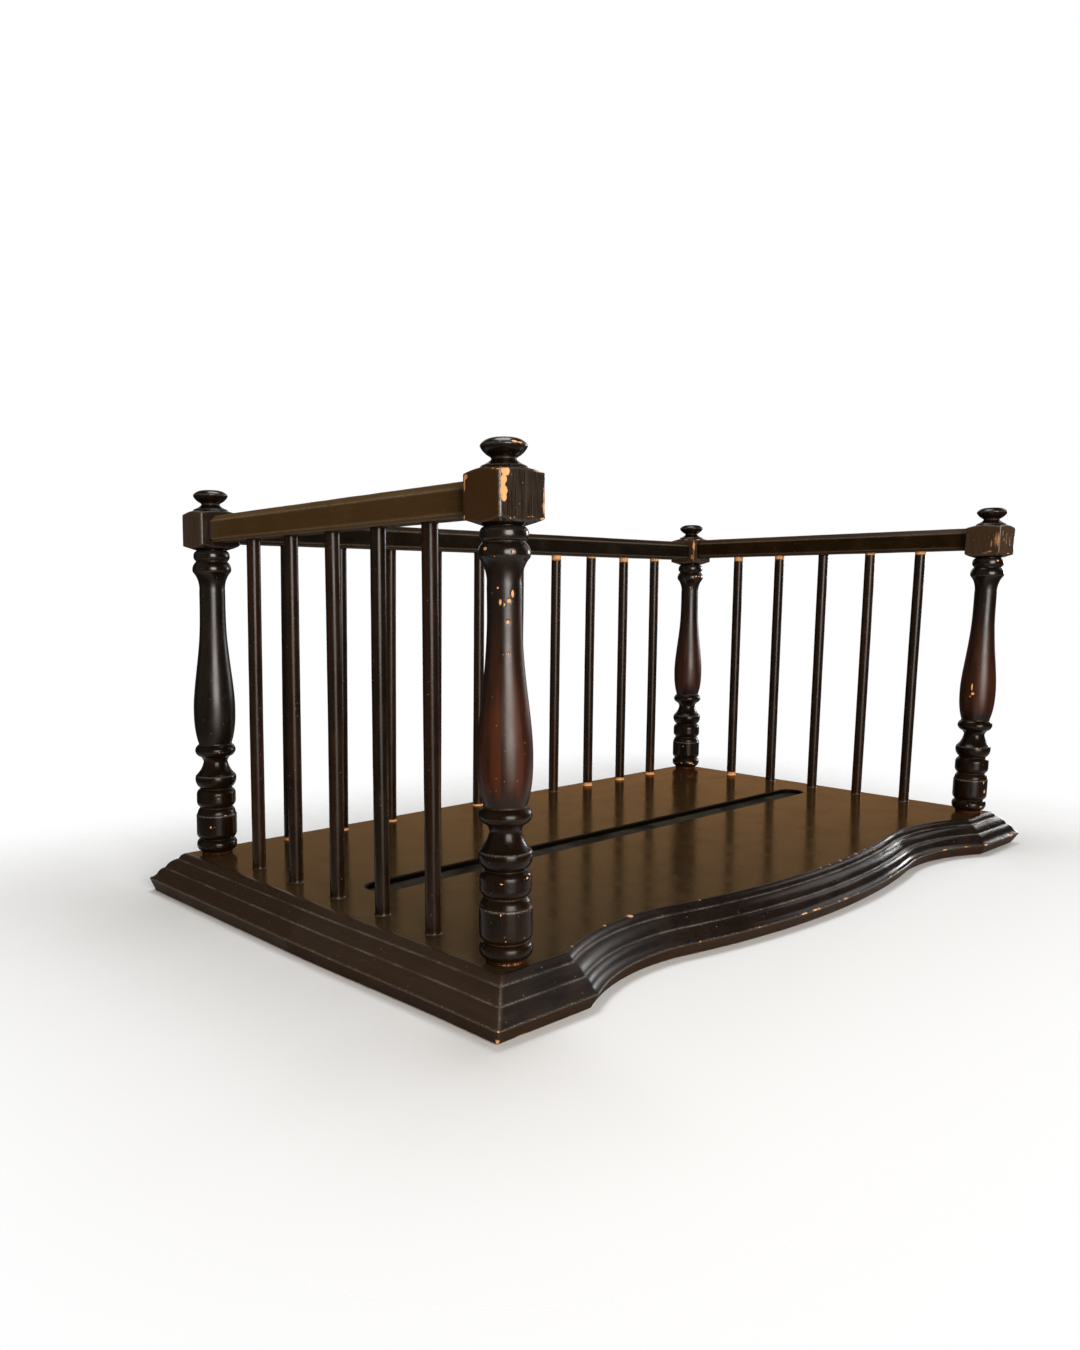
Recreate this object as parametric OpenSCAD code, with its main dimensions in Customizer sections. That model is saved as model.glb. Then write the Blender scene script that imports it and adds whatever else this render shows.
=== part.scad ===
// Gallery book holder: a moulded board with a serpentine front, four turned corner posts,
// and three rails carried on rows of plain spindles. The front is open.
// Millimetres, +Z up, front towards -Y. Origin: middle of the board's underside.

/* [Board] */
// Distance between the left and right post centres
post_span_x = 478; // [440:1:520]
// Distance between the front and back post centres
post_span_y = 272; // [240:1:310]
// Thickness of the board
board_t = 24; // [22:0.5:30]
// How far the lip of the moulded edge stands out past the post centres
lip_out = 28.6; // [25:0.2:34]
// How far the flat top runs out past the post centres before the edge rounds over
flat_out = 11.2; // [8:0.2:13]
// Height of the plain band below the lip
band_h = 7.8; // [5:0.2:10]
// How far that band slopes in between the lip and the underside
band_in = 4.4; // [2:0.2:8]

/* [Shaped front] */
// Straight part of the front edge inwards of each front post centre
front_straight = 27; // [24:1:40]
// How far each hollow of the front edge runs in
hollow_depth = 16.5; // [12:0.5:20]
// Distance along the front from the kink to the deepest point of a hollow
hollow_half = 65; // [55:1:75]

/* [Groove] */
// Width of the round-ended groove in the top of the board
groove_w = 19.5; // [12:0.5:24]
// Depth of the groove
groove_depth = 3.5; // [2:0.1:6]
// Gap between each end of the groove and the line of the side spindles
groove_end_gap = 22; // [14:1:60]
// Distance of the groove behind the middle of the board
groove_back = 1; // [-20:1:20]

/* [Posts] */
// Height of a post above the board
post_h = 230.2; // [215:0.2:245]
// Side of the square block
block_side = 25.6; // [25:0.2:30]
// Height of the block at its corners
block_h = 18.9; // [17:0.1:24]
// Height of the finial above the top corners of the block
finial_h = 15.2; // [13:0.2:18]
// Diameter of the finial's disc
finial_d = 21; // [18:0.2:23]
// Diameter of the turned rings and of the barrel at the foot
ring_d = 24.4; // [22:0.2:24.8]
// Largest diameter of the vase
vase_d = 25; // [22:0.2:25]
// Diameter of the thin neck at the top of the vase
vase_neck_d = 15.4; // [12:0.2:18]
// Height of the turned foot up to the vase
foot_h = 71; // [64:0.5:80]

/* [Rails and spindles] */
// Thickness of a rail
rail_w = 15; // [12:0.2:17]
// Height of a rail
rail_h = 16.4; // [13:0.2:17]
// Height of a rail's underside above the bottom corners of the blocks
rail_up = 1.5; // [1:0.1:3]
// Width of the bevel along the top edges of a rail
rail_bevel = 3.4; // [2:0.1:4]
// Diameter of a spindle
spindle_d = 7.9; // [6.4:0.1:8.4]
// Distance from a post centre to the centre of the nearest spindle
end_gap = 52.5; // [45:0.5:60]

/* [Joints] */
// Diameter of the round tenon under a post
tenon_d = 13; // [10:0.5:16]
// Length of that tenon
tenon_len = 14; // [10:0.5:16]
// Length of the stub tenons on the rails
stub_len = 5.5; // [4:0.5:6]
// How far a spindle runs into the board
spindle_in_board = 9; // [6:0.5:12]
// How far a spindle runs into a rail
spindle_in_rail = 6; // [4:0.5:7]
// Clearance on each side of a glued joint
glue_gap = 0.1; // [0.05:0.05:0.2]

/* [Hidden] */
$fn = 96;
// Straight steps that each turned or moulded curve is drawn with
curve_steps = 8;
// Overlap for clean cuts
cut = 1;
side_count = 5;
back_count = 10;
ebony = [0.09, 0.065, 0.05];
half_x = post_span_x / 2;
half_y = post_span_y / 2;
block_top = post_h - finial_h;
block_low = block_top - block_h;
rail_z = board_t + block_low + rail_up;
side_pitch = (post_span_y - 2 * end_gap) / (side_count - 1);
back_pitch = (post_span_x - 2 * end_gap) / (back_count - 1);
// Spare depth at the bottom of every blind hole and mortise
hole_spare = 0.5;
// Stub tenon of a rail, smaller all round than the rail's section
stub_w = rail_w - 7;
stub_h = rail_h - 5;
stub_up = 1.5;
// Half angle of the crown on top of a rail
rail_crown = 10;
// Bevel along the lower edges of a rail, which stops short of the spindle holes
low_bevel_w = 0.2 * (rail_w - spindle_d);
low_bevel_h = 1.3 * low_bevel_w;
spindle_chamfer = 0.8;

// Points of a circular arc from p to q without p itself. A positive half angle bulges to the left of the
// way from p to q, a negative one to the right.
function arc(p, q, half) =
    let (way = q - p)
    let (chord = norm(way))
    let (along = way / chord)
    let (left = [-along.y, along.x])
    let (radius = chord / 2 / sin(half))
    let (centre = (p + q) / 2 - left * radius * cos(half))
    [for (i = [1:curve_steps])
        let (turn = half - 2 * half * i / curve_steps)
        centre + radius * (left * cos(turn) - along * sin(turn))];

// Section of the moulded edge, from the flat top out and down to the underside. Each point is
// [distance past the post centres, height]. Three rounds step out to a hollow and a sharp lip.
mould_w = lip_out - flat_out;
mould_h = board_t - band_h;
// A length rounded to whole microns
function micron(v) = round(v * 1000) / 1000;
function edge_at(out, down) = [flat_out + mould_w * out, board_t - mould_h * down];
edge_curve = concat(
    [edge_at(0, 0)],
    arc(edge_at(0, 0), edge_at(0.225, 0.225), 38),
    [edge_at(0.275, 0.235)],
    arc(edge_at(0.275, 0.235), edge_at(0.58, 0.58), 26),
    [edge_at(0.625, 0.59)],
    arc(edge_at(0.625, 0.59), edge_at(0.87, 0.91), 22),
    arc(edge_at(0.87, 0.91), edge_at(1, 0.985), -20),
    [edge_at(1, 1)],
    [[lip_out - band_in, 0]]
);
edge_section = [for (p = edge_curve) [micron(p.x), micron(p.y)]];
function flip(points) = [for (i = [len(points) - 1:-1:0]) [-points[i].x, points[i].y]];
function shift(points, by) = [for (p = points) [p.x + by, p.y]];

// The front edge in plan: a kink, a hollow of one radius, and a bow that meets it smoothly
kink_x = half_x - front_straight;
hollow_x = kink_x - hollow_half;
hollow_r = micron((hollow_half * hollow_half + hollow_depth * hollow_depth) / 2 / hollow_depth);
front_y = -half_y - flat_out;
hollow_y = micron(front_y + hollow_depth - hollow_r);
bow_rise = hollow_x * hollow_x - 2 * hollow_r * hollow_depth + hollow_depth * hollow_depth;
bow_r = micron(bow_rise / 2 / hollow_depth);
bow_angle = asin(hollow_x / (hollow_r + bow_r));
bow_y = hollow_y + (hollow_r + bow_r) * cos(bow_angle);
wedge_len = bow_r + hollow_r;

// Board with the moulded edge on its two ends, as long as needed from front to back
module ends_moulded() {
    far = post_span_y + 4 * lip_out;
    translate([0, far / 2, 0])
        rotate([90, 0, 0])
            linear_extrude(far)
                polygon(concat(shift(edge_section, half_x), flip(shift(edge_section, half_x))));
}

// Board with the moulded edge along its back, running on past the front by front_extra
module back_moulded(front_extra) {
    far = post_span_x + 4 * lip_out;
    translate([-far / 2, 0, 0])
        rotate([90, 0, 90])
            linear_extrude(far)
                polygon(concat(shift(edge_section, half_y),
                    [[-half_y - front_extra, 0], [-half_y - front_extra, board_t]]));
}

// Board with the moulded edge along its back and along a straight front
module long_sides_moulded() {
    far = post_span_x + 4 * lip_out;
    translate([-far / 2, 0, 0])
        rotate([90, 0, 90])
            linear_extrude(far)
                polygon(concat(shift(edge_section, half_y), flip(shift(edge_section, half_y))));
}

// The bowed middle of the board: a slice of a large moulded disc, trimmed at the moulded back.
// The disc is moved by whole microns first, then by the rest, so that it meets both hollows exactly.
module board_middle() {
    disc = shift(edge_section, bow_r - flat_out);
    intersection() {
        translate([0, micron(bow_y), 0])
            translate([0, bow_y - micron(bow_y), 0])
                rotate_extrude($fn = 720)
                    polygon(concat([[0, board_t]], disc, [[0, 0]]));
        middle_wedge();
        back_moulded(2 * lip_out);
    }
}

// The slice of plan that the bowed middle fills
module middle_wedge() {
    reach = 2 * wedge_len;
    translate([0, 0, -cut])
        linear_extrude(board_t + 2 * cut)
            polygon([
                [0, bow_y],
                [-reach * sin(bow_angle), bow_y - reach * cos(bow_angle)],
                [reach * sin(bow_angle), bow_y - reach * cos(bow_angle)]
            ]);
}

// Round cutter that leaves the moulded hollow in the front edge
module hollow_cutter() {
    rim = [for (p = edge_section) [hollow_r + flat_out - p.x, p.y]];
    above = [[0, board_t + cut], [rim[0].x, board_t + cut]];
    below = [[rim[len(rim) - 1].x, -cut], [0, -cut]];
    translate([hollow_x, hollow_y, 0])
        rotate_extrude($fn = 360)
            polygon(concat(above, rim, below));
}

// The right end of the board, with a straight stretch and a hollow in front
module board_end() {
    reach = post_span_x + post_span_y;
    difference() {
        intersection() {
            ends_moulded();
            long_sides_moulded();
            translate([0, -reach / 2, -cut])
                cube([reach, reach, board_t + 2 * cut]);
        }
        middle_wedge();
        hollow_cutter();
    }
}

module groove_cut() {
    reach = half_x - groove_end_gap - groove_w / 2;
    translate([0, groove_back, board_t - groove_depth])
        linear_extrude(groove_depth + cut)
            union() {
                square([2 * reach, groove_w], center = true);
                translate([-reach, 0])
                    circle(d = groove_w);
                translate([reach, 0])
                    circle(d = groove_w);
            }
}

// Round blind hole from the top of the board
module board_hole(at, d, depth) {
    translate([at.x, at.y, board_t - depth])
        cylinder(d = d + 2 * glue_gap, h = depth + cut);
}

function side_spot(side, i) = [side * half_x, -half_y + end_gap + side_pitch * (i - 1)];
function back_spot(i) = [-half_x + end_gap + back_pitch * (i - 1), half_y];

module base_board() {
    color(ebony)
        difference() {
            union() {
                board_middle();
                board_end();
                mirror([1, 0, 0])
                    board_end();
            }
            groove_cut();
            for (x = [-half_x, half_x])
                for (y = [-half_y, half_y])
                    board_hole([x, y], tenon_d, tenon_len + hole_spare);
            for (side = [-1, 1])
                for (i = [1:side_count])
                    board_hole(side_spot(side, i), spindle_d, spindle_in_board + hole_spare);
            for (i = [1:back_count])
                board_hole(back_spot(i), spindle_d, spindle_in_board + hole_spare);
        }
}

// Turned outline of a post from the finial down to the foot, as [radius, height above the board]
ring_r = ring_d / 2;
neck_r = vase_neck_d / 2;
disc_r = finial_d / 2;
// Drop from the top of the finial to the widest part of its disc
disc_drop = 3.4;
disc_z = post_h - disc_drop;
// Radius of the corners of the block, and of the turned blank, well past them
corner_r = block_side / sqrt(2);
blank_r = block_side;
// Drop from the foot of the finial to the corners of the block, per length outwards
top_slope = 0.3;
flare_z = block_top + top_slope * (corner_r - disc_r);
// Drop from the lower corners of the block to the collar, and height of the collar's two beads
collar_gap = 3.1;
collar_h = 14.2;
collar_z = block_low - collar_gap;
vase_top = collar_z - collar_h;
// Hollow and straight neck of the vase, and the height of its widest place above the foot
neck_hollow = 11;
neck_drop = 17;
belly_up = 22;
vase_neck_z = vase_top - neck_drop;
vase_wide_z = foot_h + belly_up;
vase_end_r = 0.8 * ring_r;
// Height the foot is drawn at before it is stretched to foot_h
foot_drawn = 71;
function foot_at(r, z) = [ring_r * r, foot_h * z / foot_drawn];

finial_line = concat(
    [[0, post_h], [0.45 * disc_r, post_h - 0.3]],
    arc([0.45 * disc_r, post_h - 0.3], [disc_r, disc_z], 28),
    arc([disc_r, disc_z], [0.7 * disc_r, disc_z - 3], 26),
    arc([0.7 * disc_r, disc_z - 3], [0.5 * disc_r, disc_z - 5.4], -24),
    arc([0.5 * disc_r, disc_z - 5.4], [0.97 * disc_r, flare_z + 0.5], -30),
    [[disc_r, flare_z]]
);
low_slope = collar_gap / (corner_r - 0.72 * ring_r);
block_line = [
    [blank_r, block_top - top_slope * (blank_r - corner_r)],
    [blank_r, block_low + low_slope * (blank_r - corner_r)]
];
collar_line = concat(
    [[0.72 * ring_r, collar_z]],
    arc([0.72 * ring_r, collar_z], [0.88 * ring_r, collar_z - 3.2], 38),
    arc([0.88 * ring_r, collar_z - 3.2], [0.75 * ring_r, collar_z - 6.6], 38),
    arc([0.75 * ring_r, collar_z - 6.6], [0.95 * ring_r, collar_z - 11.8], 26),
    arc([0.95 * ring_r, collar_z - 11.8], [0.86 * ring_r, vase_top], 30)
);
// Vase: a hollow under the collar, a thin neck, a slow swell and a quick round to the foot
vase_line = concat(
    arc([0.86 * ring_r, vase_top], [neck_r, vase_top - neck_hollow], -20),
    [[neck_r, vase_neck_z]],
    [for (i = [1:2 * curve_steps])
        let (s = i / curve_steps / 2)
        let (e = pow(s, 1.35))
        let (swell = e * e * (3 - 2 * e))
        [neck_r + (vase_d / 2 - neck_r) * swell, vase_neck_z + (vase_wide_z - vase_neck_z) * s]],
    [for (i = [1:curve_steps])
        let (s = i / curve_steps)
        let (swell = 1 - pow(s, 2.6))
        [vase_end_r + (vase_d / 2 - vase_end_r) * swell, vase_wide_z + (foot_h - vase_wide_z) * s]]
);
foot_line = concat(
    arc(foot_at(0.8, foot_drawn), foot_at(1, 66.6), 34),
    arc(foot_at(1, 66.6), foot_at(0.72, 63), 30),
    arc(foot_at(0.72, 63), foot_at(0.59, 60), -14),
    arc(foot_at(0.59, 60), foot_at(0.99, 51), -20),
    arc(foot_at(0.99, 51), foot_at(0.75, 42.6), 36),
    arc(foot_at(0.75, 42.6), foot_at(0.97, 38.6), 38),
    [foot_at(0.97, 35)],
    arc(foot_at(0.97, 35), foot_at(0.78, 30.4), 34),
    arc(foot_at(0.78, 30.4), foot_at(0.95, 26.2), 26),
    [foot_at(1, 25.6), foot_at(1, 14)],
    arc(foot_at(1, 14), foot_at(0.8, 10), 36),
    arc(foot_at(0.8, 10), foot_at(1, 6.4), 38),
    arc(foot_at(1, 6.4), foot_at(0.8, 2.2), 38),
    [foot_at(0.76, 1.8), foot_at(0.76, 0), [0, 0]]
);
post_line = concat(finial_line, block_line, collar_line, vase_line, foot_line);

// Mortise in a block, opening towards the direction turned by angle from +X
module mortise(angle) {
    rotate([0, 0, angle])
        translate([
            block_side / 2 - stub_len - hole_spare,
            -stub_w / 2 - glue_gap,
            block_low + rail_up + stub_up - glue_gap
        ])
            cube([stub_len + hole_spare + cut, stub_w + 2 * glue_gap, stub_h + 2 * glue_gap]);
}

// Post at a corner, with one mortise for each angle in the list
module post(at, angles) {
    color(ebony)
        translate([at.x, at.y, board_t]) {
            difference() {
                intersection() {
                    rotate_extrude()
                        polygon(post_line);
                    translate([-block_side / 2, -block_side / 2, 0])
                        cube([block_side, block_side, post_h + cut]);
                }
                for (angle = angles)
                    mortise(angle);
            }
            translate([0, 0, -tenon_len])
                cylinder(d = tenon_d, h = tenon_len);
        }
}

module front_left_post() {
    post([-half_x, -half_y], [90]);
}

module front_right_post() {
    post([half_x, -half_y], [90]);
}

module back_left_post() {
    post([-half_x, half_y], [0, -90]);
}

module back_right_post() {
    post([half_x, half_y], [180, -90]);
}

// Rail along +X about its middle, with bevelled edges and a crowned top, a stub tenon at each end,
// and spindle holes underneath
module rail(span, spots) {
    clear = span - block_side;
    side = rail_w / 2;
    top_side = side - rail_bevel;
    bevel_z = rail_h - top_side * tan(rail_crown / 2);
    right_line = [[side - low_bevel_w, 0], [side, low_bevel_h], [side, bevel_z - rail_bevel]];
    left_line = flip(right_line);
    difference() {
        union() {
            translate([-clear / 2, 0, 0])
                rotate([90, 0, 90])
                    linear_extrude(clear)
                        polygon(concat(
                            right_line,
                            [[top_side, bevel_z]],
                            arc([top_side, bevel_z], [-top_side, bevel_z], -rail_crown),
                            left_line
                        ));
            translate([-clear / 2 - stub_len, -stub_w / 2, stub_up])
                cube([clear + 2 * stub_len, stub_w, stub_h]);
        }
        for (x = spots)
            translate([x, 0, -cut])
                cylinder(d = spindle_d + 2 * glue_gap, h = spindle_in_rail + hole_spare + cut);
    }
}

side_spots = [for (i = [1:side_count]) side_spot(1, i).y];
back_spots = [for (i = [1:back_count]) back_spot(i).x];

module left_rail() {
    color(ebony)
        translate([-half_x, 0, rail_z])
            rotate([0, 0, 90])
                rail(post_span_y, side_spots);
}

module back_rail() {
    color(ebony)
        translate([0, half_y, rail_z])
            rail(post_span_x, back_spots);
}

module right_rail() {
    color(ebony)
        translate([half_x, 0, rail_z])
            rotate([0, 0, 90])
                rail(post_span_y, side_spots);
}

// Plain dowel with chamfered ends that sit in the board and in a rail
module spindle(at) {
    low = board_t - spindle_in_board;
    high = rail_z + spindle_in_rail;
    r = spindle_d / 2;
    color(ebony)
        translate([at.x, at.y, 0])
            rotate_extrude()
                polygon([
                    [0, low],
                    [r - spindle_chamfer, low],
                    [r, low + spindle_chamfer],
                    [r, high - spindle_chamfer],
                    [r - spindle_chamfer, high],
                    [0, high]
                ]);
}

module left_spindle(i) {
    spindle(side_spot(-1, i));
}

module back_spindle(i) {
    spindle(back_spot(i));
}

module right_spindle(i) {
    spindle(side_spot(1, i));
}

base_board();
front_left_post();
front_right_post();
back_left_post();
back_right_post();
left_rail();
back_rail();
right_rail();
for (i = [1:side_count])
    left_spindle(i);
for (i = [1:back_count])
    back_spindle(i);
for (i = [1:side_count])
    right_spindle(i);
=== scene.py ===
"""Looks of the gallery book holder.

Every CAD node is replaced by a finer mesh of the same shape, with softened arrises, dents and chips,
under a worn ebonised lacquer. The old gallery leans a little, as it does in the photograph. Shapes are
worked out in millimetres and stored in metres.
"""
import math

import bmesh
import bpy
import numpy as np
from mathutils import Matrix, Vector, noise


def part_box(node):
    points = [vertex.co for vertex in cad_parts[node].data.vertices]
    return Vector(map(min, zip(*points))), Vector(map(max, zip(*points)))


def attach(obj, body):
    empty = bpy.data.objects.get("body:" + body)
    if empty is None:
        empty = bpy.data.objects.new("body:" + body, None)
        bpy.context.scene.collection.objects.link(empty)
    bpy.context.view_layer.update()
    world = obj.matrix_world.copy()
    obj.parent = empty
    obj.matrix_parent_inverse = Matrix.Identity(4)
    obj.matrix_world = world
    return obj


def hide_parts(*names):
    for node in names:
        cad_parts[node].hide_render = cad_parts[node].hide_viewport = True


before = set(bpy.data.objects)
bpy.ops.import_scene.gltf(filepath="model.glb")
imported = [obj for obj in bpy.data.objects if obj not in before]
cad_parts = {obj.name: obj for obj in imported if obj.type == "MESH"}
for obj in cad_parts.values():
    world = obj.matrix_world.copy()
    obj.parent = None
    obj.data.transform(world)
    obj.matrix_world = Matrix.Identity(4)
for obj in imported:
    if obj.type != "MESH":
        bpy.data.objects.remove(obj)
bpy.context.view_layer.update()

MM = 0.001
SEED = 7


# Sizes, read from the frame where it has them

def box_mm(node):
    """Lowest and highest corner of a CAD node in millimetres."""
    low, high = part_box(node)
    return np.array(low) / MM, np.array(high) / MM


def middle(node):
    low, high = box_mm(node)
    return (low + high) / 2


board_t = box_mm("base_board")[1][2]
half_x, half_y = middle("back_right_post")[:2]
lip_out = box_mm("base_board")[1][0] - half_x
block_side = np.ptp(np.stack(box_mm("front_left_post")), axis=0)[0]
post_h = box_mm("front_left_post")[1][2] - board_t
rail_w = np.ptp(np.stack(box_mm("left_rail")), axis=0)[0]
rail_z = box_mm("left_rail")[0][2]
rail_h = box_mm("left_rail")[1][2] - rail_z
spindle_d = np.ptp(np.stack(box_mm("left_spindle_1")), axis=0)[0]

# Board edge and groove
flat_out = 11.2
band_h = 7.8
band_in = 4.4
front_straight = 27
hollow_depth = 16.5
hollow_half = 65
groove_w = 19.5
groove_depth = 3.5
groove_end_gap = 22
groove_back = 1

# Turned posts
finial_h = 15.2
block_h = 18.9
collar_gap = 3.1
top_slope = 0.3
disc_r = 10.5
ring_r = 12.2
collar_r = 0.72 * ring_r
vase_r = 12.5
neck_r = 7.7
foot_h = 71
block_top = post_h - finial_h
block_low = block_top - block_h

# Rails
rail_bevel = 3.4
rail_crown = 10
low_bevel_w = 0.2 * (rail_w - spindle_d)
low_bevel_h = 1.3 * low_bevel_w

# How far the ends of rails and spindles run into what they meet
rail_sink = 0.4
spindle_sink = 0.6

# Size of the slow bumps left by hand tools
bump_size = 14.0


# How far the head of each post stands off in the photograph, since the old gallery is not quite square.
# The key says which post: -1 is left or front, and 1 is right or back
HEAD_OFF = {
    (-1, -1): (-0.9, 0.9, 0.8),
    (-1, 1): (1.9, -1.8, -4.4),
    (1, 1): (0.5, -0.5, -3.6),
    (1, -1): (4.3, -4.2, -1.6),
}
# How much higher the right rail lies in its blocks than the others
RIGHT_LIFT = 1.8
# How much further out the left edge of the board reaches than the others
LEFT_OUT = 4.0


def settle(points, lift=0.0):
    """Moves points of the gallery with the post heads, the more the higher they lie above the board.
    lift is added to how far the heads stand up."""
    moved = np.array(points, float)
    up = (moved[..., 2:] - board_t) / post_h
    shift = np.zeros_like(moved)
    for (side, depth), off in HEAD_OFF.items():
        share = (0.5 + side * points[..., :1] / half_x / 2) * (0.5 + depth * points[..., 1:2] / half_y / 2)
        shift += share * np.array(off)
    shift[..., 2] += lift
    return moved + up * shift


# Lines in a plane

def arc(p, q, half, steps=10):
    """Points of an arc from p to q without p. A positive half angle bulges to the left of the way."""
    p, q = np.array(p, float), np.array(q, float)
    chord = np.linalg.norm(q - p)
    along = (q - p) / chord
    left = np.array([-along[1], along[0]])
    half = math.radians(half)
    radius = chord / 2 / math.sin(half)
    centre = (p + q) / 2 - left * radius * math.cos(half)
    turns = half - 2 * half * np.arange(1, steps + 1) / steps
    return [centre + radius * (left * math.cos(t) - along * math.sin(t)) for t in turns]


def resample(points, step):
    """The same line with points at even spacing."""
    points = np.array(points, float)
    run = np.concatenate([[0], np.cumsum(np.linalg.norm(np.diff(points, axis=0), axis=1))])
    at = np.linspace(0, run[-1], max(2, round(run[-1] / step) + 1))
    return np.stack([np.interp(at, run, points[:, k]) for k in range(2)], 1)


def soften(points, reach, step):
    """Rounds the corners of an evenly spaced line by averaging over a reach on each side."""
    n = max(1, round(reach / step))
    weights = np.bartlett(2 * n + 3)[1:-1]
    before = 2 * points[0] - points[1:n + 1][::-1]
    after = 2 * points[-1] - points[-n - 1:-1][::-1]
    padded = np.concatenate([before, points, after])
    return np.stack([np.convolve(padded[:, k], weights / weights.sum(), "valid") for k in range(2)], 1)


def bend(points):
    """Turning to the right at each point of a line, in radians per millimetre."""
    way = np.diff(points, axis=0)
    angle = np.unwrap(np.arctan2(way[:, 1], way[:, 0]))
    length = np.linalg.norm(way, axis=1)
    turn = np.zeros(len(points))
    turn[1:-1] = -np.diff(angle) / ((length[:-1] + length[1:]) / 2)
    return turn


def edges_and_hollows(points):
    """How sharply a line turns out and in at each point, both from 0 to 1."""
    turn = bend(points)
    return np.clip((turn - 0.3) / 0.7, 0, 1), np.clip((-turn - 0.3) / 0.7, 0, 1)


# Meshes

def grid_faces(rows, columns, first=0):
    """Quads of a grid of vertices, each row joined to the next, and its last column to its first."""
    return [
        (
            first + j * columns + i,
            first + j * columns + (i + 1) % columns,
            first + (j + 1) * columns + (i + 1) % columns,
            first + (j + 1) * columns + i,
        )
        for j in range(rows - 1)
        for i in range(columns)
    ]


def smooth_step(low, high, value):
    t = np.clip((value - low) / (high - low), 0, 1)
    return t * t * (3 - 2 * t)


def chip_field(points, spots):
    """Up to 1 in the middle of each worn spot, about a half on its rim and 0 well outside.
    A spot is its middle, how far it reaches across and up, and how bare it is."""
    worn = np.zeros(points.shape[:-1])
    for spot, wide, tall, bare in spots:
        away = points - np.array(spot)
        far = (away[..., 0] ** 2 + away[..., 1] ** 2) / wide ** 2 + away[..., 2] ** 2 / tall ** 2
        worn = np.maximum(worn, bare * (1 - far / 2))
    return np.clip(worn, 0, 1)


def unevenness(points, size, seed):
    """Slow noise at each point, about -1 to 1, with bumps of that size."""
    shift = Vector((seed * 17.3, seed * 5.1, seed * 9.7))
    return np.array([noise.noise(Vector(p) / size + shift) for p in points])


def make_piece(name, points, faces, node, materials, fields, uneven=0.0, chip_depth=0.25, seed=1):
    """A mesh that rides on the frame and stands for a CAD node. fields are named values at the vertices,
    uneven is the height of its slow bumps, and chip_depth is how deep a bare chip goes."""
    mesh = bpy.data.meshes.new(name)
    mesh.from_pydata((points * MM).tolist(), [], faces)
    tidy = bmesh.new()
    tidy.from_mesh(mesh)
    bmesh.ops.recalc_face_normals(tidy, faces=tidy.faces)
    tidy.to_mesh(mesh)
    tidy.free()
    normals = np.array([v.normal for v in mesh.vertices])
    move = -chip_depth * smooth_step(0.35, 0.75, fields["chip"])
    if uneven:
        move = move + uneven * unevenness(points, bump_size, seed)
    mesh.vertices.foreach_set("co", ((points + normals * move[:, None]) * MM).astype(np.float32).ravel())
    for key, values in fields.items():
        layer = mesh.attributes.new(key, "FLOAT", "POINT")
        layer.data.foreach_set("value", np.asarray(values, np.float32))
    mesh.shade_smooth()
    mesh.update()
    for material in materials:
        mesh.materials.append(material)
    piece = bpy.data.objects.new(name, mesh)
    bpy.context.scene.collection.objects.link(piece)
    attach(piece, "root")
    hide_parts(node)
    return piece


# Materials

def add_node(tree, kind, inputs=None, **settings):
    made = tree.nodes.new("ShaderNode" + kind)
    for key, value in settings.items():
        setattr(made, key, value)
    for key, value in (inputs or {}).items():
        if isinstance(value, bpy.types.NodeSocket):
            tree.links.new(value, made.inputs[key])
        else:
            made.inputs[key].default_value = value
    return made


def math_node(tree, operation, a, b=0.0, clamp=False):
    return add_node(tree, "Math", {0: a, 1: b}, operation=operation, use_clamp=clamp).outputs[0]


def remap(tree, value, low, high, to_low=0.0, to_high=1.0):
    """A smooth step from to_low to to_high as value goes from low to high."""
    inputs = {"Value": value, "From Min": low, "From Max": high, "To Min": to_low, "To Max": to_high}
    return add_node(tree, "MapRange", inputs, interpolation_type="SMOOTHSTEP").outputs[0]


def mix_colour(tree, share, a, b):
    return add_node(tree, "Mix", {0: share, 6: a, 7: b}, data_type="RGBA").outputs[2]


def mix_value(tree, share, a, b):
    return add_node(tree, "Mix", {0: share, 2: a, 3: b}, data_type="FLOAT").outputs[0]


def field(tree, name):
    return add_node(tree, "Attribute", attribute_name=name).outputs["Fac"]


def stretched_noise(tree, place, scale, detail=4.0, roughness=0.55):
    """Noise whose features have the size 1 / scale, in millimetres, along each axis."""
    moved = add_node(tree, "Mapping", {"Vector": place, "Scale": scale}).outputs[0]
    inputs = {"Vector": moved, "Scale": 1.0, "Detail": detail, "Roughness": roughness}
    return add_node(tree, "TexNoise", inputs).outputs[0]


def rgb(r, g, b):
    return (r, g, b, 1.0)


BARE_WOOD = rgb(0.68, 0.33, 0.135)
OLD_WOOD = rgb(0.17, 0.078, 0.036)
DUST = rgb(0.20, 0.17, 0.13)


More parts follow.
